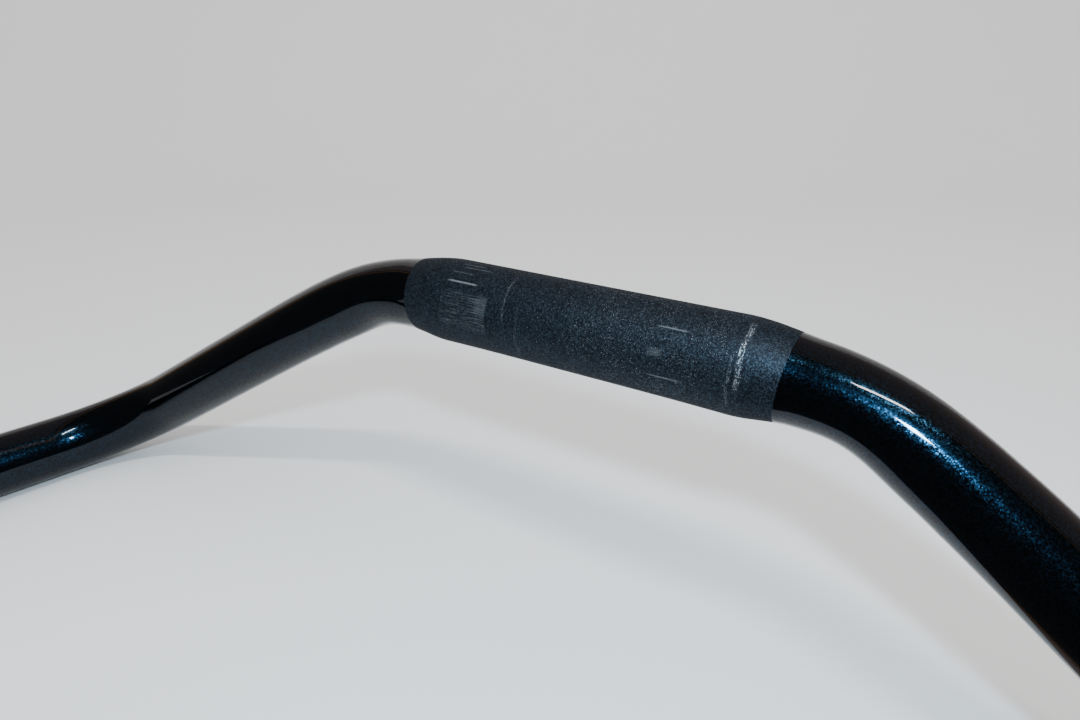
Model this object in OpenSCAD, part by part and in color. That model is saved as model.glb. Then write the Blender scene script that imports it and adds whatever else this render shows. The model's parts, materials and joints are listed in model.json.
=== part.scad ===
// Swept-back city handlebar: one bent, hollow alloy tube with a thicker centre for the stem,
// closed at each end by a plug that a screw and a cone nut expand inside the tube.
// Millimetres. Origin at the middle of the clamp zone, +X along it, +Z up, with the bar lying
// on its two grips. The grips point towards -Y, flared outwards.

/* [Clamp zone] */
// Outside diameter where the stem grips
clamp_d = 25.4; // [25:0.1:26]
// Length at the full clamp diameter
clamp_l = 88; // [60:1:96]
// Length of each cone down to the arm diameter
taper_l = 8; // [5:0.5:10]

/* [Tube] */
// Outside diameter of the arms and grips
arm_d = 22.2; // [22:0.1:23.8]
// Wall thickness
wall = 2.2; // [1.8:0.1:2.6]

/* [Arms] */
// How steeply each arm falls away from the clamp zone, degrees
arm_fall = 30.5; // [25:0.5:35]
// How far each arm is swept towards the rider, degrees
arm_sweep = 15.6; // [10:0.1:20]
// Half width at which the arm's centreline leaves the clamp axis
arm_root_x = 75.8; // [72:0.1:85]
// Length of the arm's centreline between the corners of its two bends
arm_l = 141; // [120:1:170]
// Centreline radius of the bend into the grip
grip_bend_r = 45; // [40:1:55]

/* [Grips] */
// Straight length for the grip and the levers
grip_l = 185; // [160:1:200]
// Outward flare of the grips, degrees
grip_flare = 12.8; // [5:0.1:18]

/* [End plugs] */
// Thickness of the cap outside the tube
cap_t = 3.2; // [2.5:0.1:4]
// Length of the cap's spigot inside the tube
spigot_l = 7; // [6:0.5:10]
// Length of the rubber sleeve
sleeve_l = 16; // [14:1:20]
// Nominal diameter of the screw
screw_d = 5; // [4:1:5]
// Length of the screw under its head
screw_l = 35; // [32:1:40]

/* [Hidden] */
$fn = 72;

clamp_r = clamp_d / 2;
arm_r = arm_d / 2;
bore_r = arm_r - wall;
taper_end_x = clamp_l / 2 + taper_l;

// Directions of the arm and of the grip on the right-hand side
arm_dir = [cos(arm_fall) * cos(arm_sweep), -cos(arm_fall) * sin(arm_sweep), -sin(arm_fall)];
grip_dir = [sin(grip_flare), -cos(grip_flare), 0];

// The root bend turns the tube by root_angle, in a plane rolled by root_roll about the clamp axis
root_angle = acos(arm_dir[0]);
root_roll = atan2(arm_dir[1], -arm_dir[2]);

// The grip's direction seen from the arm gives the second bend's angle and its roll
function unroll(v, a) = [v[0], v[1] * cos(a) + v[2] * sin(a), v[2] * cos(a) - v[1] * sin(a)];
function unpitch(v, a) = [v[0] * cos(a) - v[2] * sin(a), v[1], v[0] * sin(a) + v[2] * cos(a)];
grip_seen = unpitch(unroll(grip_dir, root_roll), root_angle);
grip_angle = acos(grip_seen[0]);
grip_roll = atan2(grip_seen[1], -grip_seen[2]);

// Distances from each bend's corner to where it starts and ends. The root bend starts where the
// cone ends, which sets its radius.
root_tangent = arm_root_x - taper_end_x;
root_bend_r = root_tangent / tan(root_angle / 2);
grip_tangent = grip_bend_r * tan(grip_angle / 2);

// Each straight piece laps over the ends of its bends. The bends are thinner than the straights by
// bend_skin inside and outside, so their ends sit wholly within the straights' wall.
lap = 0.2;
bend_skin = 0.03;

// End plug
slip = 0.05;
spigot_r = bore_r - slip;
cap_r = arm_r - 0.1;
cap_edge_r = 1.2;
head_r = 4.25;
head_h = 4.8;
head_chamfer = 0.4;
head_recess = 0.4;
head_gap = 0.3;
head_seat = cap_t - head_recess - head_h;
socket_af = 4;
socket_depth = 2.5;
screw_r = screw_d / 2;
tip_chamfer = 0.5;
sleeve_start = -spigot_l;
sleeve_end = sleeve_start - sleeve_l;
sleeve_hole_r = screw_r + 0.7;
cone_l = 7;
cone_r = bore_r - 1.6;
cone_gap = 0.1;
wedge_l = 5;
slot_w = 1.4;
slot_l = 11;
slot_count = 3;
key_gap = 0.15;
key_h = 0.9;
key_l = 3;

// How far a cut runs past the face that it opens
past = 1;

// Frames: each child is placed with +X along the tube, its origin at the named corner or end
module arm_frame() {
    rotate([root_roll, 0, 0]) translate([arm_root_x, 0, 0]) rotate([0, root_angle, 0]) children();
}

module grip_frame() {
    arm_frame() translate([arm_l, 0, 0]) rotate([grip_roll, 0, 0]) rotate([0, grip_angle, 0]) children();
}

module end_frame() {
    grip_frame() translate([grip_tangent + grip_l, 0, 0]) children();
}

module left_side() {
    mirror([1, 0, 0]) children();
}

// A straight hollow tube along +X from x0 to x1
module straight_tube(x0, x1) {
    translate([x0, 0, 0]) rotate([0, 90, 0]) difference() {
        cylinder(r = arm_r, h = x1 - x0);
        cylinder(r = bore_r, h = x1 - x0);
    }
}

// A hollow bend that comes in along +X and turns towards -Z, with its corner at the origin
module bent_tube(bend_r, angle) {
    translate([-bend_r * tan(angle / 2), 0, -bend_r]) rotate([0, -90, -90])
        rotate_extrude(angle = angle) translate([bend_r, 0]) difference() {
            circle(r = arm_r - bend_skin);
            circle(r = bore_r + bend_skin);
        }
}

// The clamp zone and its two cones, turned in one piece
module clamp_tube() {
    half = [
        [arm_r, taper_end_x + lap], [arm_r, taper_end_x], [clamp_r, clamp_l / 2],
        [clamp_r - wall, clamp_l / 2], [bore_r, taper_end_x], [bore_r, taper_end_x + lap]
    ];
    rotate([0, 90, 0]) rotate_extrude() polygon([
        for (i = [5, 4, 3]) half[i],
        for (i = [3, 4, 5]) [half[i][0], -half[i][1]],
        for (i = [0, 1, 2]) [half[i][0], -half[i][1]],
        for (i = [2, 1, 0]) half[i]
    ]);
}

// Everything from the cone to the bar end on one side
module arm_tube() {
    rotate([root_roll, 0, 0]) translate([arm_root_x, 0, 0]) bent_tube(root_bend_r, root_angle);
    arm_frame() straight_tube(root_tangent - lap, arm_l - grip_tangent + lap);
    arm_frame() translate([arm_l, 0, 0]) rotate([grip_roll, 0, 0]) bent_tube(grip_bend_r, grip_angle);
    grip_frame() straight_tube(grip_tangent - lap, grip_tangent + grip_l);
}

module bar_tube() {
    color([0.03, 0.03, 0.035]) union() {
        clamp_tube();
        arm_tube();
        left_side() arm_tube();
    }
}

// Turns a profile of [radius, x] points about the tube's axis
module turned(profile) {
    rotate([0, 90, 0]) rotate_extrude() polygon(profile);
}

// Slots in the sleeve's inner end and the keys of the wedge that run in them
module slot_bars(width, x0, x1, reach) {
    for (i = [0 : slot_count - 1])
        rotate([i * 360 / slot_count, 0, 0])
            translate([x0, -width / 2, 0]) cube([x1 - x0, width, reach]);
}

module plug_cap() {
    color([0.05, 0.05, 0.05]) turned([
        [screw_r + slip, -spigot_l], [spigot_r, -spigot_l], [spigot_r, 0], [cap_r, 0],
        [cap_r, cap_t - cap_edge_r],
        for (a = [15 : 15 : 90]) [cap_r - cap_edge_r * (1 - cos(a)), cap_t - cap_edge_r * (1 - sin(a))],
        [head_r + head_gap, cap_t], [head_r + head_gap, head_seat], [screw_r + slip, head_seat]
    ]);
}

module plug_sleeve() {
    color([0.10, 0.10, 0.10]) difference() {
        turned([
            [sleeve_hole_r, sleeve_start], [spigot_r, sleeve_start], [spigot_r, sleeve_end],
            [cone_r, sleeve_end], [sleeve_hole_r, sleeve_end + cone_l]
        ]);
        slot_bars(slot_w, sleeve_end - past, sleeve_end + slot_l, bore_r + past);
    }
}

module plug_wedge() {
    // The cone is cut short, so its tip is a little wider than the sleeve's hole
    tip_cut = 1;
    tip_x = sleeve_end + cone_l - tip_cut;
    tip_r = sleeve_hole_r + (cone_r - sleeve_hole_r) * tip_cut / cone_l - cone_gap;
    color([0.72, 0.58, 0.30]) difference() {
        union() {
            turned([
                [0, sleeve_end - wedge_l], [cone_r - cone_gap, sleeve_end - wedge_l],
                [cone_r - cone_gap, sleeve_end], [tip_r, tip_x], [0, tip_x]
            ]);
            slot_bars(slot_w - 2 * key_gap, sleeve_end - wedge_l, sleeve_end + key_l, cone_r + key_h);
        }
        translate([sleeve_end - wedge_l - past, 0, 0]) rotate([0, 90, 0])
            cylinder(r = screw_r + slip, h = wedge_l + cone_l + 2 * past);
    }
}

module plug_screw() {
    color([0.62, 0.62, 0.64]) difference() {
        turned([
            [0, head_seat - screw_l], [screw_r - tip_chamfer, head_seat - screw_l],
            [screw_r, head_seat - screw_l + tip_chamfer], [screw_r, head_seat], [head_r, head_seat],
            [head_r, head_seat + head_h - head_chamfer],
            [head_r - head_chamfer, head_seat + head_h], [0, head_seat + head_h]
        ]);
        translate([head_seat + head_h - socket_depth, 0, 0]) rotate([0, 90, 0])
            cylinder(d = socket_af / cos(30), h = socket_depth + past, $fn = 6);
    }
}

module left_plug_cap() { left_side() end_frame() plug_cap(); }
module left_plug_sleeve() { left_side() end_frame() plug_sleeve(); }
module left_plug_wedge() { left_side() end_frame() plug_wedge(); }
module left_plug_screw() { left_side() end_frame() plug_screw(); }
module right_plug_cap() { end_frame() plug_cap(); }
module right_plug_sleeve() { end_frame() plug_sleeve(); }
module right_plug_wedge() { end_frame() plug_wedge(); }
module right_plug_screw() { end_frame() plug_screw(); }

bar_tube();
left_plug_cap();
left_plug_sleeve();
left_plug_wedge();
left_plug_screw();
right_plug_cap();
right_plug_sleeve();
right_plug_wedge();
right_plug_screw();
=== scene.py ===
import json
import math

import bmesh
import bpy
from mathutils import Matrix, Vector


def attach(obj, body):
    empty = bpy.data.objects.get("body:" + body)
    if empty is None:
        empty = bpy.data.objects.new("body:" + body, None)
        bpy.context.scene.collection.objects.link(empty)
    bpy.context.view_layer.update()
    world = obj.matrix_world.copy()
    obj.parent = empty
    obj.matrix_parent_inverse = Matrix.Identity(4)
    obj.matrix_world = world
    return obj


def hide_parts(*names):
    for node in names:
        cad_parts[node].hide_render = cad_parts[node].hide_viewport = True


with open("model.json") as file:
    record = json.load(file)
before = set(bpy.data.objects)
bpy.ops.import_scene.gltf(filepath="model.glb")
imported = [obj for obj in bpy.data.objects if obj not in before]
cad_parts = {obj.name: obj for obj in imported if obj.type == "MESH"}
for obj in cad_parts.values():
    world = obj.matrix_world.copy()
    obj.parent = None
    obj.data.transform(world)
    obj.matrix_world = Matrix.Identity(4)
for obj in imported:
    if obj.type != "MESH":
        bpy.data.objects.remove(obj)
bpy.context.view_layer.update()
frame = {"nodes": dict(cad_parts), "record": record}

# ---------------------------------------------------------------- the bar's shape, in metres
MOUNTS = {mount["name"]: mount for mount in frame["record"]["mounts"]}
CLAMP_R = MOUNTS["stem_clamp"]["dims"]["r_mm"] / 1000
ARM_R = MOUNTS["right_grip_seat"]["dims"]["r_mm"] / 1000
GRIP_L = MOUNTS["right_grip_seat"]["dims"]["length_mm"] / 1000
GRIP_DIR = Vector(MOUNTS["right_grip_seat"]["axis"]).normalized()
GRIP_MID = Vector(MOUNTS["right_grip_seat"]["pos_m"])
GRIP_START = GRIP_MID - GRIP_DIR * GRIP_L / 2
GRIP_END = GRIP_MID + GRIP_DIR * GRIP_L / 2
WALL = 0.0022

# Each arm falls and sweeps away from a corner on the clamp axis
ARM_ROOT_X = 0.0758
ROOT_BEND_R = 0.090
GRIP_BEND_R = 0.045

# The taper is smooth and runs on into the root bend
TAPER_FROM = 0.0437
TAPER_TO = 0.0611

# Bending has flattened the inside of each root bend and swelled it a little on both sides
DENT_DEPTH, DENT_AT, DENT_WIDTH = -0.00258, 0.0741, 0.01425
SWELL_HEIGHT, SWELL_AT, SWELL_WIDTH = 0.00136, 0.0773, 0.0251
CREST_DEPTH, CREST_AT, CREST_WIDTH = -0.00053, 0.0953, 0.012

# The matt finish of the clamp zone ends part-way down the taper
MATT_HALF = 0.0564
MATT_EDGE = 0.0002

RING_STEP = 0.0015
RING_SIDES = 96
FLOOR_Z = GRIP_END.z - ARM_R


def corner_tangent(bend_r, incoming, outgoing):
    """Distance from a bend's corner to where the bend starts."""
    return bend_r * math.tan(incoming.angle(outgoing) / 2)


class Route:
    """The right-hand half of the tube's centreline, from the middle of the clamp zone outwards."""

    def __init__(self):
        self.points = []
        self.tangents = []
        self.insides = []
        self.along = []
        self.here = Vector((0, 0, 0))
        self.length = 0.0

    def add(self, point, tangent, inside, travelled):
        self.points.append(point)
        self.tangents.append(tangent)
        self.insides.append(inside)
        self.along.append(self.length + travelled)

    def straight(self, direction, inside, length):
        steps = max(2, round(length / RING_STEP))
        for i in range(steps):
            travelled = length * i / steps
            self.add(self.here + direction * travelled, direction.copy(), inside.copy(), travelled)
        self.here = self.here + direction * length
        self.length += length

    def bend(self, incoming, outgoing, radius):
        angle = incoming.angle(outgoing)
        inside = (outgoing - incoming * incoming.dot(outgoing)).normalized()
        steps = max(6, round(radius * angle / RING_STEP))
        for i in range(steps + 1):
            t = angle * i / steps
            point = self.here + radius * (math.sin(t) * incoming + (1 - math.cos(t)) * inside)
            tangent = math.cos(t) * incoming + math.sin(t) * inside
            normal = math.cos(t) * inside - math.sin(t) * incoming
            if i < steps:
                self.add(point, tangent, normal, radius * t)
        self.here = point
        self.length += radius * angle
        return normal


def bar_route():
    root = Vector((ARM_ROOT_X, 0, 0))
    across = Vector((1, 0, 0))
    # The arm runs from its root corner to the corner in line with the grip
    arm_corner = grip_corner(root)
    arm_dir = (arm_corner - root).normalized()
    root_tangent = corner_tangent(ROOT_BEND_R, across, arm_dir)
    grip_tangent = corner_tangent(GRIP_BEND_R, arm_dir, GRIP_DIR)
    inside = (arm_dir - across * across.dot(arm_dir)).normalized()
    route = Route()
    route.straight(across, inside, ARM_ROOT_X - root_tangent)
    inside = route.bend(across, arm_dir, ROOT_BEND_R)
    route.straight(arm_dir, inside, (arm_corner - root).length - root_tangent - grip_tangent)
    route.bend(arm_dir, GRIP_DIR, GRIP_BEND_R)
    to_end = (GRIP_END - route.here).dot(GRIP_DIR)
    route.straight(GRIP_DIR, route.insides[-1], to_end)
    route.add(route.here, GRIP_DIR.copy(), route.insides[-1], 0.0)
    return route


def grip_corner(root):
    """The corner before the grip: its distance back from the grip's start suits the bend radius."""
    corner = GRIP_START.copy()
    for _ in range(40):
        arm_dir = (corner - root).normalized()
        corner = GRIP_START - GRIP_DIR * corner_tangent(GRIP_BEND_R, arm_dir, GRIP_DIR)
    return corner


def smooth(value, low, high):
    t = min(max((value - low) / (high - low), 0), 1)
    return t * t * (3 - 2 * t)


def hump(value, height, middle, width):
    return height * math.exp(-((value - middle) / width) ** 2)


def ring_radius(along, inward):
    """Outside radius at a distance along the tube; inward is 1 on the inside of the bend, -1 outside."""
    radius = CLAMP_R + (ARM_R - CLAMP_R) * smooth(along, TAPER_FROM, TAPER_TO)
    dent = hump(along, DENT_DEPTH, DENT_AT, DENT_WIDTH) + hump(along, SWELL_HEIGHT, SWELL_AT, SWELL_WIDTH)
    crest = hump(along, CREST_DEPTH, CREST_AT, CREST_WIDTH)
    if inward > 0:
        return radius + dent * inward ** 2
    return radius + crest * inward ** 2


# ---------------------------------------------------------------- small helpers
def mesh_object(name, vertices, faces):
    mesh = bpy.data.meshes.new(name)
    mesh.from_pydata([tuple(v) for v in vertices], [], faces)
    mesh.validate()
    mesh.polygons.foreach_set("use_smooth", [True] * len(mesh.polygons))
    mesh.update()
    made = bpy.data.objects.new(name, mesh)
    bpy.context.scene.collection.objects.link(made)
    return made


class Nodes:
    """Builds one procedural material."""

    def __init__(self, name):
        self.material = bpy.data.materials.new(name)
        self.material.use_nodes = True
        self.tree = self.material.node_tree
        self.shader = self.tree.nodes["Principled BSDF"]

    def set(self, **sockets):
        for key, value in sockets.items():
            self.shader.inputs[key.replace("_", " ")].default_value = value

    def node(self, kind, **properties):
        made = self.tree.nodes.new(kind)
        for key, value in properties.items():
            setattr(made, key, value)
        return made

    def link(self, source, target):
        self.tree.links.new(source, target)

    def feed(self, socket, value):
        if isinstance(value, bpy.types.NodeSocket):
            self.link(value, socket)
        else:
            socket.default_value = value

    def math(self, operation, first, second=0.0):
        made = self.node("ShaderNodeMath", operation=operation)
        for socket, value in zip(made.inputs, (first, second)):
            self.feed(socket, value)
        return made.outputs[0]

    def step(self, value, low, high):
        """0 below low, 1 above high, smooth between."""
        made = self.node("ShaderNodeMapRange", interpolation_type="SMOOTHSTEP")
        self.feed(made.inputs["Value"], value)
        made.inputs["From Min"].default_value = low
        made.inputs["From Max"].default_value = high
        return made.outputs["Result"]

    def band(self, value, low, high, soft):
        """1 between low and high, falling to 0 over the distance soft."""
        rise = self.step(value, low - soft, low)
        fall = self.step(value, high, high + soft)
        return self.math("MULTIPLY", rise, self.math("SUBTRACT", 1.0, fall))

    def attribute(self, name):
        return self.node("ShaderNodeAttribute", attribute_name=name).outputs["Fac"]

    def vector(self, x, y, z):
        made = self.node("ShaderNodeCombineXYZ")
        for socket, value in zip(made.inputs, (x, y, z)):
            self.feed(socket, value)
        return made.outputs[0]

    def noise(self, vector, scale, detail=2.0, roughness=0.5):
        made = self.node("ShaderNodeTexNoise")
        self.link(vector, made.inputs["Vector"])
        made.inputs["Scale"].default_value = scale
        made.inputs["Detail"].default_value = detail
        made.inputs["Roughness"].default_value = roughness
        return made.outputs["Fac"]

    def cells(self, vector, scale):
        made = self.node("ShaderNodeTexVoronoi")
        self.link(vector, made.inputs["Vector"])
        made.inputs["Scale"].default_value = scale
        return made

    def mix(self, factor, first, second):
        made = self.node("ShaderNodeMix", data_type="RGBA")
        self.feed(made.inputs["Factor"], factor)
        self.feed(made.inputs["A"], first)
        self.feed(made.inputs["B"], second)
        return made.outputs["Result"]

    def blend(self, factor, first, second):
        made = self.node("ShaderNodeMix", data_type="FLOAT")
        self.feed(made.inputs["Factor"], factor)
        self.feed(made.inputs["A"], first)
        self.feed(made.inputs["B"], second)
        return made.outputs["Result"]

    def bump(self, height, strength, distance, normal=None):
        made = self.node("ShaderNodeBump")
        made.inputs["Strength"].default_value = strength
        made.inputs["Distance"].default_value = distance
        self.link(height, made.inputs["Height"])
        if normal:
            self.link(normal, made.inputs["Normal"])
        return made.outputs["Normal"]

    def out(self, socket, source):
        self.link(source, self.shader.inputs[socket])


# ---------------------------------------------------------------- the tube
def tube_rings(route):
    """Mirrored rings from the left end to the right end: centre, tangent, inside, signed distance."""
    right = list(zip(route.points, route.tangents, route.insides, route.along))
    flip = Vector((-1, 1, 1))
    left = [(p * flip, -(t * flip), n * flip, -s) for p, t, n, s in reversed(right[1:])]
    return left + right


def build_tube(route):
    rings = tube_rings(route)
    vertices, along, height, front = [], [], [], []
    for wall_in in (0.0, WALL):
        for point, tangent, inside, distance in rings:
            side = tangent.cross(Vector((0, 0, 1))).normalized()
            up = side.cross(tangent).normalized()
            for k in range(RING_SIDES):
                angle = 2 * math.pi * k / RING_SIDES
                outward = math.cos(angle) * up - math.sin(angle) * side
                radius = ring_radius(abs(distance), outward.dot(inside)) - wall_in
                vertices.append(point + outward * radius)
                along.append(distance)
                height.append(math.cos(angle))
                front.append(math.sin(angle))
    count = len(rings)
    faces = []
    inner = count * RING_SIDES
    for i in range(count - 1):
        for k in range(RING_SIDES):
            a = i * RING_SIDES + k
            b = i * RING_SIDES + (k + 1) % RING_SIDES
            faces.append((a, a + RING_SIDES, b + RING_SIDES, b))
            faces.append((inner + a, inner + b, inner + b + RING_SIDES, inner + a + RING_SIDES))
    last = (count - 1) * RING_SIDES
    for k in range(RING_SIDES):
        j = (k + 1) % RING_SIDES
        faces.append((k, j, inner + j, inner + k))
        faces.append((last + k, inner + last + k, inner + last + j, last + j))
    tube = mesh_object("bar_tube_finished", vertices, faces)
    for name, values in (("along", along), ("height", height), ("front", front)):
        layer = tube.data.attributes.new(name, "FLOAT", "POINT")
        layer.data.foreach_set("value", values)
    return tube


def streaks(nodes, around, along, lengthwise, crosswise):
    """Fine scratches: noise drawn out along the tube or round it, on the unrolled surface."""
    unrolled = nodes.vector(nodes.math("MULTIPLY", along, lengthwise),
                            nodes.math("MULTIPLY", around, crosswise), 0.0)
    return nodes.noise(unrolled, 1.0, detail=3.0, roughness=0.7)


def patch(nodes, along, around, span, arc, soft_along=0.0006, soft_around=0.05):
    """1 inside a stretch of the tube (metres) and an arc of it (degrees from the top, front negative)."""
    lengthwise = nodes.band(along, span[0], span[1], soft_along)
    crosswise = nodes.band(around, math.radians(arc[0]), math.radians(arc[1]), soft_around)
    return nodes.math("MULTIPLY", lengthwise, crosswise)


# The stretch scored and rubbed by an old clamp: spans in metres, arcs in degrees from the top
SCORED_SPAN, SCORED_ARC = (-0.0415, -0.0254), (-98, -58)
WORN_SPAN, WORN_ARC = (-0.0290, -0.0257), (-76, -60)
FADING_SPAN, FADING_ARC = (-0.0350, -0.0257), (-78, -60)
EDGE_SOFT = 0.0003


def clamp_wear(nodes, along, around, point):
    """How far the matt finish is worn to bright metal: 0 untouched, 1 bare."""
    marks = []
    axial = streaks(nodes, around, along, 150.0, 75.0)
    fine_axial = streaks(nodes, around, along, 260.0, 210.0)
    ringwise = streaks(nodes, around, along, 5200.0, 5.0)

    # Where a stem's clamp has been twisted on the bar: axial scratches that stop at its edge
    scored = nodes.math("MULTIPLY", patch(nodes, along, around, SCORED_SPAN, SCORED_ARC, EDGE_SOFT, 0.12),
                        nodes.step(axial, 0.52, 0.70))
    fade_in = nodes.blend(nodes.step(along, -0.041, -0.026), 0.20, 0.32)
    marks.append(nodes.math("MULTIPLY", scored, fade_in))
    worn = nodes.math("MULTIPLY", patch(nodes, along, around, WORN_SPAN, WORN_ARC, EDGE_SOFT, 0.12),
                      nodes.step(fine_axial, 0.40, 0.66))
    fading = nodes.math("MULTIPLY", patch(nodes, along, around, FADING_SPAN, FADING_ARC, EDGE_SOFT, 0.18),
                        nodes.math("MULTIPLY", nodes.step(along, FADING_SPAN[0], FADING_SPAN[0] + 0.0080),
                                   nodes.step(axial, 0.42, 0.62)))
    rubbed = nodes.math("MAXIMUM", nodes.math("MULTIPLY", worn, 0.7), fading)
    marks.append(nodes.math("MULTIPLY", rubbed, 0.15))
    for start, end, angle, half_arc, soft, strength in SCRATCHES:
        line = patch(nodes, along, around, (start, end), (angle - half_arc, angle + half_arc), 0.0022, soft)
        broken = nodes.math("MULTIPLY", line, nodes.blend(nodes.step(fine_axial, 0.38, 0.62), 0.25, 1.0))
        marks.append(nodes.math("MULTIPLY", broken, strength))

    # Rings scuffed by the edges of a clamp
    drift = nodes.math("SUBTRACT", nodes.noise(point, 130.0, detail=3.0), 0.5)
    wander = nodes.math("MULTIPLY", drift, 0.0026)
    wandering = nodes.math("ADD", along, wander)
    grit = nodes.cells(point, 2700.0).outputs["Distance"]
    dots = nodes.math("SUBTRACT", 1.0, nodes.step(grit, 0.18, 0.40))
    for place, half_width, arc, strength in RING_SCUFFS:
        ring = patch(nodes, wandering, around, (place - half_width, place + half_width), arc, 0.0005, 0.3)
        broken = nodes.math("MULTIPLY", ring, nodes.math("MAXIMUM", nodes.step(ringwise, 0.50, 0.72), dots))
        marks.append(nodes.math("MULTIPLY", broken, strength))

    # Bright specks over the middle and the right, where grit was pressed in
    area = nodes.math("MULTIPLY", nodes.step(along, -0.016, 0.008),
                      nodes.math("SUBTRACT", 1.0, nodes.step(along, 0.043, 0.050)))
    clumps = nodes.step(nodes.noise(point, 80.0, detail=4.0, roughness=0.7), 0.34, 0.60)
    density = nodes.math("MULTIPLY", area, clumps)
    for scale, reach, share, strength in SPECKS:
        cell = nodes.cells(point, scale)
        chance = nodes.node("ShaderNodeSeparateColor")
        nodes.link(cell.outputs["Color"], chance.inputs[0])
        chosen = nodes.math("LESS_THAN", chance.outputs[0], nodes.math("MULTIPLY", density, share))
        speck = nodes.math("SUBTRACT", 1.0, nodes.step(cell.outputs["Distance"], reach * 0.4, reach))
        bright = nodes.math("MULTIPLY", nodes.math("POWER", chance.outputs[1], 1.5), strength)
        marks.append(nodes.math("MULTIPLY", nodes.math("MULTIPLY", speck, chosen), bright))

    total = marks[0]
    for mark in marks[1:]:
        total = nodes.math("MAXIMUM", total, mark)
    return total


# Axial scratches: start and end in metres, degrees from the top, half arc, softness, strength
SCRATCHES = (
    (-0.0395, -0.0320, -41.0, 0.6, 0.020, 0.50),
    (-0.0385, -0.0340, -7.0, 0.3, 0.015, 0.22),
    (-0.0370, -0.0300, -14.0, 0.3, 0.015, 0.20),
    (-0.0400, -0.0350, -26.0, 0.3, 0.015, 0.16),
    (0.0265, 0.0320, -42.5, 0.3, 0.018, 0.30),
    (0.0255, 0.0265, -73.0, 0.8, 0.110, 0.13),
    (0.0260, 0.0320, -101.0, 0.4, 0.018, 0.24),
    (-0.0100, 0.0000, 40.0, 0.4, 0.018, 0.26),
    (0.0120, 0.0260, 118.0, 0.4, 0.018, 0.22),
)
# Ring scuffs: place and half width in metres, arc in degrees, strength
RING_SCUFFS = (
    (0.0470, 0.0003, (-86, -22), 0.85),
    (0.0450, 0.0001, (-110, -66), 0.26),
    (-0.0200, 0.0001, (-68, -22), 0.30),
    (-0.0150, 0.0001, (-120, -66), 0.12),
    (0.0465, 0.0002, (60, 150), 0.40),
)
# Specks: cells to the metre, size in cells, share of the cells, strength
SPECKS = (
    (2300.0, 0.27, 0.40, 0.70),
    (3300.0, 0.33, 0.60, 0.55),
    (1250.0, 0.18, 0.14, 0.75),
)


def flake_normal(nodes, point, scale, tilt):
    """The shading normal of metal flakes, each tilted its own way."""
    cell = nodes.cells(point, scale)
    centred = nodes.node("ShaderNodeVectorMath", operation="SUBTRACT")
    nodes.link(cell.outputs["Color"], centred.inputs[0])
    centred.inputs[1].default_value = (0.5, 0.5, 0.5)
    tilted = nodes.node("ShaderNodeVectorMath", operation="SCALE")
    nodes.link(centred.outputs[0], tilted.inputs[0])
    nodes.feed(tilted.inputs["Scale"], tilt)
    total = nodes.node("ShaderNodeVectorMath", operation="ADD")
    nodes.link(nodes.node("ShaderNodeNewGeometry").outputs["Normal"], total.inputs[0])
    nodes.link(tilted.outputs[0], total.inputs[1])
    unit = nodes.node("ShaderNodeVectorMath", operation="NORMALIZE")
    nodes.link(total.outputs[0], unit.inputs[0])
    return unit.outputs[0], cell.outputs["Color"]


def bar_material():
    nodes = Nodes("bar_finish")
    along = nodes.attribute("along")
    around = nodes.math("ARCTAN2", nodes.attribute("front"), nodes.attribute("height"))
    reach = nodes.math("ABSOLUTE", along)
    point = nodes.node("ShaderNodeTexCoord").outputs["Object"]
    past_matt = nodes.step(reach, MATT_HALF - MATT_EDGE, MATT_HALF + MATT_EDGE)
    matt = nodes.math("SUBTRACT", 1.0, past_matt)
    gloss = nodes.math("SUBTRACT", 1.0, matt)

    # Gloss arms: blue flake deep in black under a clear coat
    normal, flake_colour = flake_normal(nodes, point, 3300.0, nodes.blend(matt, 0.09, 0.12))
    brightness = nodes.node("ShaderNodeSeparateColor")
    nodes.link(flake_colour, brightness.inputs[0])
    sparkle = nodes.math("POWER", brightness.outputs[2], 2.2)
    gloss_colour = nodes.mix(sparkle, (0.0004, 0.0012, 0.002, 1), (0.006, 0.020, 0.038, 1))

    # Matt clamp zone: blasted and worn
    cloud = nodes.noise(point, 70.0, detail=4.0, roughness=0.6)
    matt_base = nodes.mix(cloud, (0.006, 0.0075, 0.0105, 1), (0.012, 0.0155, 0.0205, 1))
    matt_dull = nodes.mix(nodes.math("MULTIPLY", sparkle, 0.5), matt_base, (0.062, 0.090, 0.118, 1))
    wear = nodes.math("MULTIPLY", clamp_wear(nodes, along, around, point), matt)
    matt_colour = nodes.mix(wear, matt_dull, (0.62, 0.66, 0.70, 1))

    nodes.out("Base Color", nodes.mix(matt, gloss_colour, matt_colour))
    nodes.out("Roughness", nodes.blend(matt, 0.22, nodes.blend(wear, 0.52, 0.42)))
    nodes.out("Metallic", nodes.blend(matt, 1.0, 0.70))
    nodes.out("Coat Weight", gloss)
    nodes.set(Coat_Roughness=0.03, Coat_IOR=1.28, Specular_Tint=(0.25, 0.25, 0.28, 1))

    grain = nodes.noise(point, 2400.0, detail=3.0, roughness=0.7)
    pitted = nodes.math("SUBTRACT", nodes.math("MULTIPLY", grain, matt), nodes.math("MULTIPLY", wear, 0.8))
    nodes.out("Normal", nodes.bump(pitted, 0.22, 0.00004, normal))
    return nodes.material


route = bar_route()
tube = build_tube(route)
tube.data.materials.append(bar_material())
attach(tube, "bar")
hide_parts("bar_tube")


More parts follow.
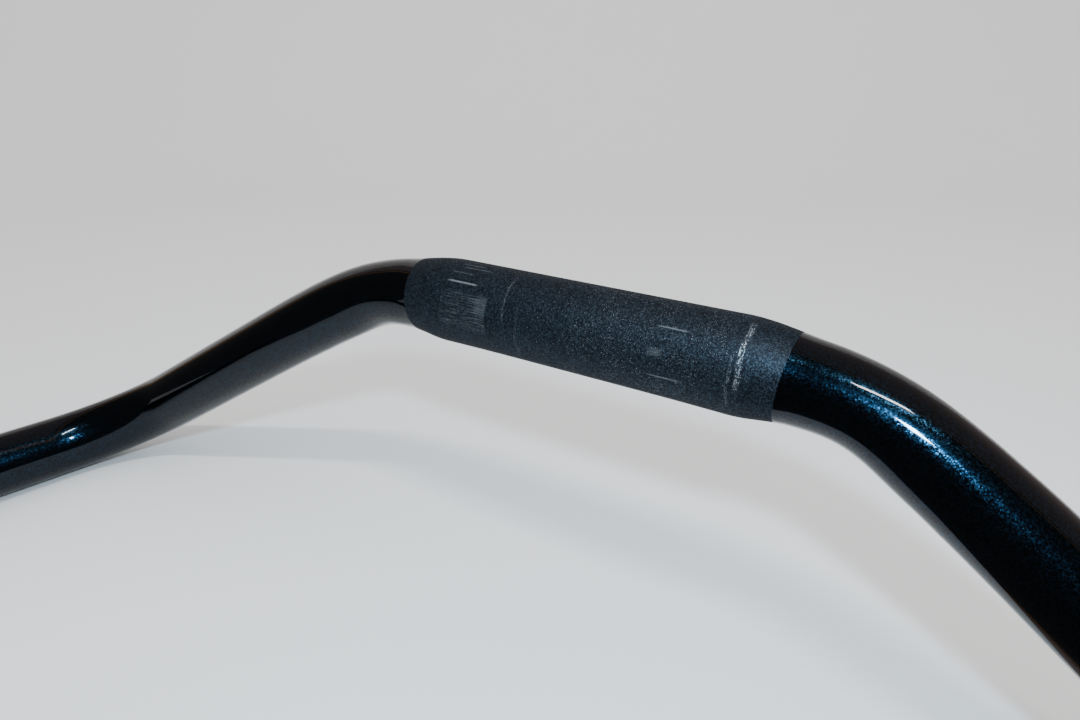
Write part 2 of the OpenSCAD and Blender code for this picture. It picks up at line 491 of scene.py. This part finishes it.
# ---------------------------------------------------------------- plugs
def plastic_material():
    nodes = Nodes("plug_plastic")
    point = nodes.node("ShaderNodeTexCoord").outputs["Object"]
    grain = nodes.noise(point, 1800.0, detail=4.0, roughness=0.6)
    nodes.out("Base Color", nodes.mix(grain, (0.012, 0.012, 0.013, 1), (0.026, 0.026, 0.028, 1)))
    nodes.out("Roughness", nodes.blend(grain, 0.38, 0.55))
    nodes.out("Normal", nodes.bump(grain, 0.3, 0.00005))
    return nodes.material


def rubber_material():
    nodes = Nodes("plug_rubber")
    point = nodes.node("ShaderNodeTexCoord").outputs["Object"]
    bloom = nodes.noise(point, 260.0, detail=5.0, roughness=0.65)
    nodes.out("Base Color", nodes.mix(bloom, (0.014, 0.014, 0.014, 1), (0.045, 0.045, 0.043, 1)))
    nodes.out("Roughness", nodes.blend(bloom, 0.70, 0.88))
    nodes.out("Normal", nodes.bump(nodes.noise(point, 2200.0), 0.3, 0.00006))
    return nodes.material


def brass_material():
    nodes = Nodes("wedge_brass")
    point = nodes.node("ShaderNodeTexCoord").outputs["Object"]
    stain = nodes.noise(point, 320.0, detail=4.0, roughness=0.6)
    nodes.out("Base Color", nodes.mix(stain, (0.60, 0.42, 0.17, 1), (0.76, 0.58, 0.28, 1)))
    nodes.out("Roughness", nodes.blend(stain, 0.24, 0.42))
    nodes.set(Metallic=1.0)
    nodes.out("Normal", nodes.bump(nodes.noise(point, 3000.0), 0.2, 0.00004))
    return nodes.material


def steel_material():
    nodes = Nodes("screw_steel")
    point = nodes.node("ShaderNodeTexCoord").outputs["Object"]
    spangle = nodes.noise(point, 500.0, detail=4.0, roughness=0.6)
    nodes.out("Base Color", nodes.mix(spangle, (0.42, 0.43, 0.45, 1), (0.60, 0.61, 0.62, 1)))
    nodes.out("Roughness", nodes.blend(spangle, 0.22, 0.40))
    nodes.set(Metallic=1.0)
    nodes.out("Normal", nodes.bump(nodes.noise(point, 2600.0), 0.15, 0.00004))
    return nodes.material


PLUG_FINISHES = {
    "cap": plastic_material(),
    "sleeve": rubber_material(),
    "wedge": brass_material(),
    "screw": steel_material(),
}

# The screws, with the thread that the CAD solids leave out
SCREW_R = 0.0025
THREAD_PITCH = 0.0008
THREAD_DEPTH = 0.00042
HEAD_R = 0.00425
HEAD_H = 0.0048
HEAD_TOP = 0.0028
SCREW_L = 0.035
PLAIN_SHANK = 0.006
TIP_START_R = SCREW_R - 0.0007
TIP_CHAMFER = 0.0005
THREAD_RUNOUT = 0.0004
HEAD_ROUND = 0.0005
HEAD_CHAMFER = 0.0002
SOCKET_CONE = 0.0006
SOCKET_AF = 0.004
SOCKET_DEPTH = 0.0025
SCREW_SIDES = 48
RINGS_PER_TURN = 8


def thread_ring(x):
    """Radii round the shank where a 60 degree thread passes."""
    radii = []
    for k in range(SCREW_SIDES):
        phase = (x / THREAD_PITCH - k / SCREW_SIDES) % 1
        crest = min(max(1.6 - abs(phase - 0.5) * 4, 0), 1)
        radii.append(SCREW_R - THREAD_DEPTH * (1 - crest))
    return radii


def round_ring(radius):
    return [radius] * SCREW_SIDES


def hex_ring():
    sixth = math.pi / 3
    angles = [(2 * math.pi * k / SCREW_SIDES) % sixth for k in range(SCREW_SIDES)]
    return [SOCKET_AF / 2 / math.cos(angle - sixth / 2) for angle in angles]


def screw_rings():
    """Rings of the screw from the tip to the floor of the socket, as distance outwards and radii."""
    seat = HEAD_TOP - HEAD_H
    tip = seat - SCREW_L
    rings = [(tip, round_ring(0.0)), (tip, round_ring(TIP_START_R))]
    thread_end = seat - PLAIN_SHANK
    thread_l = thread_end - tip - TIP_CHAMFER
    steps = round(thread_l / THREAD_PITCH * RINGS_PER_TURN)
    for i in range(steps + 1):
        x = tip + TIP_CHAMFER + thread_l * i / steps
        rings.append((x, thread_ring(x)))
    rings += [(thread_end + THREAD_RUNOUT, round_ring(SCREW_R)), (seat, round_ring(SCREW_R))]
    rings += [(seat, round_ring(HEAD_R - HEAD_CHAMFER)), (seat + HEAD_CHAMFER, round_ring(HEAD_R))]
    rings += [(HEAD_TOP - HEAD_ROUND, round_ring(HEAD_R))]
    for angle in (30, 60, 90):
        turn = math.radians(angle)
        rings.append((HEAD_TOP - HEAD_ROUND * (1 - math.sin(turn)),
                      round_ring(HEAD_R - HEAD_ROUND * (1 - math.cos(turn)))))
    mouth = [r + HEAD_CHAMFER for r in hex_ring()]
    rings += [(HEAD_TOP, mouth), (HEAD_TOP - HEAD_CHAMFER, hex_ring())]
    rings += [(HEAD_TOP - SOCKET_DEPTH, hex_ring()), (HEAD_TOP - SOCKET_DEPTH - SOCKET_CONE, round_ring(0.0))]
    return rings


def build_screw(side, flip):
    """A screw on the grip's axis, measured outwards from the bar's end."""
    outward = Vector((flip * GRIP_DIR.x, GRIP_DIR.y, GRIP_DIR.z))
    end = Vector((flip * GRIP_END.x, GRIP_END.y, GRIP_END.z))
    across = outward.cross(Vector((0, 0, 1))).normalized()
    up = across.cross(outward).normalized()
    rings = screw_rings()
    vertices = []
    for x, radii in rings:
        for k, radius in enumerate(radii):
            angle = 2 * math.pi * k / SCREW_SIDES
            vertices.append(end + outward * x + radius * (math.cos(angle) * up + math.sin(angle) * across))
    faces = []
    for i in range(len(rings) - 1):
        for k in range(SCREW_SIDES):
            a = i * SCREW_SIDES + k
            b = i * SCREW_SIDES + (k + 1) % SCREW_SIDES
            faces.append((a, b, b + SCREW_SIDES, a + SCREW_SIDES))
    screw = mesh_object(f"{side}_screw_threaded", vertices, faces)
    bm = bmesh.new()
    bm.from_mesh(screw.data)
    bmesh.ops.remove_doubles(bm, verts=bm.verts, dist=1e-7)
    bmesh.ops.recalc_face_normals(bm, faces=bm.faces)
    for edge in bm.edges:
        edge.smooth = len(edge.link_faces) == 2 and edge.calc_face_angle() < math.radians(40)
    bm.to_mesh(screw.data)
    bm.free()
    screw.data.materials.append(PLUG_FINISHES["screw"])
    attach(screw, f"{side}_screw")
    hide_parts(f"{side}_plug_screw")


for side, flip in (("left", -1), ("right", 1)):
    build_screw(side, flip)
    for part in ("cap", "sleeve", "wedge"):
        cad_piece = frame["nodes"][f"{side}_plug_{part}"]
        for slot in cad_piece.material_slots:
            slot.material = PLUG_FINISHES[part]


# ---------------------------------------------------------------- floor, light and camera
CAMERA_AT = Vector((0.08833, -0.16373, 0.07557))
CAMERA_PITCH = math.radians(24.62)
CAMERA_YAW = math.radians(32.17)

# The sheet, measured from the camera's foot: its front edge, where its curve starts, its half width
SHEET_NEAR, SHEET_FAR, SHEET_HALF_WIDTH = 0.122, 0.75, 1.4
SHEET_CURVE_R, SHEET_WALL_H = 0.45, 0.9
SHEET_CURVE_STEPS = 12
FLOOR_REACH = 6.0
FLOOR_GAP = 0.0004

# What lights the scene from all round, and the room that only the gloss mirrors
PALE = (1.00, 0.99, 0.99, 1)
ROOM_DARK = (0.12, 0.12, 0.12, 1)
ROOM_WARM = (1.5, 0.75, 0.25, 1)
ROOM_DIM = (0.50, 0.42, 0.41, 1)
# Where the room changes, as the Y part of the direction looked in
WARM_FROM, WARM_TO = -0.045, 0.005
DIM_FROM, DIM_TO = 0.02, 0.06


def stage_material():
    nodes = Nodes("floor")
    point = nodes.node("ShaderNodeTexCoord").outputs["Object"]
    cloud = nodes.noise(point, 6.0, detail=3.0, roughness=0.5)
    nodes.out("Base Color", nodes.mix(cloud, (0.79, 0.79, 0.79, 1), (0.82, 0.82, 0.82, 1)))
    nodes.set(Roughness=0.7)
    return nodes.material


def build_stage():
    """A sheet under and behind the object, curved up at the back, on a wide floor of the same colour."""
    material = stage_material()
    ahead = Vector((-math.sin(CAMERA_YAW), math.cos(CAMERA_YAW), 0))
    beside = Vector((math.cos(CAMERA_YAW), math.sin(CAMERA_YAW), 0))
    foot = Vector((CAMERA_AT.x, CAMERA_AT.y, FLOOR_Z))

    def spot(forward, sideways, up=0.0):
        return foot + ahead * forward + beside * sideways + Vector((0, 0, up))

    # The gloss mirrors the sheet and not the floor around it, like a sheet laid in a dark room
    profile = [(SHEET_NEAR, 0.0), (SHEET_FAR, 0.0)]
    for i in range(1, SHEET_CURVE_STEPS + 1):
        t = math.pi / 2 * i / SHEET_CURVE_STEPS
        profile.append((SHEET_FAR + SHEET_CURVE_R * math.sin(t), SHEET_CURVE_R * (1 - math.cos(t))))
    profile.append((SHEET_FAR + SHEET_CURVE_R, SHEET_WALL_H))
    vertices = [spot(f, x, u) for f, u in profile
                for x in (-SHEET_HALF_WIDTH, SHEET_HALF_WIDTH)]
    faces = [(2 * i, 2 * i + 1, 2 * i + 3, 2 * i + 2) for i in range(len(profile) - 1)]
    sheet = mesh_object("sheet", vertices, faces)
    corners = ((-1, -1), (-1, 1), (1, 1), (1, -1))
    around = [spot(f * FLOOR_REACH, x * FLOOR_REACH, -FLOOR_GAP) for f, x in corners]
    floor = mesh_object("floor", around, [(0, 1, 2, 3)])
    floor.visible_glossy = False
    for piece in (sheet, floor):
        piece.data.materials.append(material)


def area_light(name, place, aim, size, power, colour):
    data = bpy.data.lights.new(name, "AREA")
    data.shape = "RECTANGLE"
    data.size, data.size_y = size
    data.energy = power
    data.color = colour
    made = bpy.data.objects.new(name, data)
    made.location = place
    made.rotation_euler = (Vector(aim) - Vector(place)).to_track_quat("-Z", "Y").to_euler()
    bpy.context.scene.collection.objects.link(made)
    return made


def build_lights():
    area_light("flash", (0.130, -0.210, 0.205), (0, 0, 0), (0.028, 0.028), 1.45, (0.58, 0.81, 1.0))
    area_light("ceiling_strip", (0.38, -0.43, 1.5), (0.05, 0, 0), (0.45, 0.07), 12.0, (1.0, 0.96, 0.92))


def build_world():
    """Even pale light from all round; gloss sees a room instead, dim on the far side and dark on the near."""
    world = bpy.data.worlds.new("studio")
    world.use_nodes = True
    tree = world.node_tree
    background = tree.nodes["Background"]
    direction = tree.nodes.new("ShaderNodeSeparateXYZ")
    tree.links.new(tree.nodes.new("ShaderNodeTexCoord").outputs["Generated"], direction.inputs[0])
    edge = tree.nodes.new("ShaderNodeMapRange")
    edge.interpolation_type = "SMOOTHSTEP"
    edge.inputs["From Min"].default_value = DIM_FROM
    edge.inputs["From Max"].default_value = DIM_TO
    tree.links.new(direction.outputs["Y"], edge.inputs["Value"])
    # A warm line runs between the dark side and the dim one
    warm = tree.nodes.new("ShaderNodeValToRGB")
    for element in warm.color_ramp.elements:
        element.color = ROOM_DARK
    warm.color_ramp.elements.new(0.5).color = ROOM_WARM
    near_side = tree.nodes.new("ShaderNodeMapRange")
    near_side.inputs["From Min"].default_value = WARM_FROM
    near_side.inputs["From Max"].default_value = WARM_TO
    tree.links.new(direction.outputs["Y"], near_side.inputs["Value"])
    tree.links.new(near_side.outputs["Result"], warm.inputs["Fac"])
    room = tree.nodes.new("ShaderNodeMix")
    room.data_type = "RGBA"
    room.inputs["B"].default_value = ROOM_DIM
    tree.links.new(edge.outputs["Result"], room.inputs["Factor"])
    tree.links.new(warm.outputs["Color"], room.inputs["A"])
    seen = tree.nodes.new("ShaderNodeMix")
    seen.data_type = "RGBA"
    seen.inputs["A"].default_value = PALE
    tree.links.new(room.outputs["Result"], seen.inputs["B"])
    tree.links.new(tree.nodes.new("ShaderNodeLightPath").outputs["Is Glossy Ray"], seen.inputs["Factor"])
    tree.links.new(seen.outputs["Result"], background.inputs["Color"])
    background.inputs["Strength"].default_value = 1.0
    bpy.context.scene.world = world


def build_camera():
    data = bpy.data.cameras.new("camera")
    data.sensor_width = 36.0
    data.lens = 24.0
    data.clip_start = 0.005
    data.dof.use_dof = False
    camera = bpy.data.objects.new("camera", data)
    camera.location = CAMERA_AT
    camera.rotation_euler = (math.pi / 2 - CAMERA_PITCH, 0, CAMERA_YAW)
    bpy.context.scene.collection.objects.link(camera)
    bpy.context.scene.camera = camera


build_stage()
build_lights()
build_world()
build_camera()
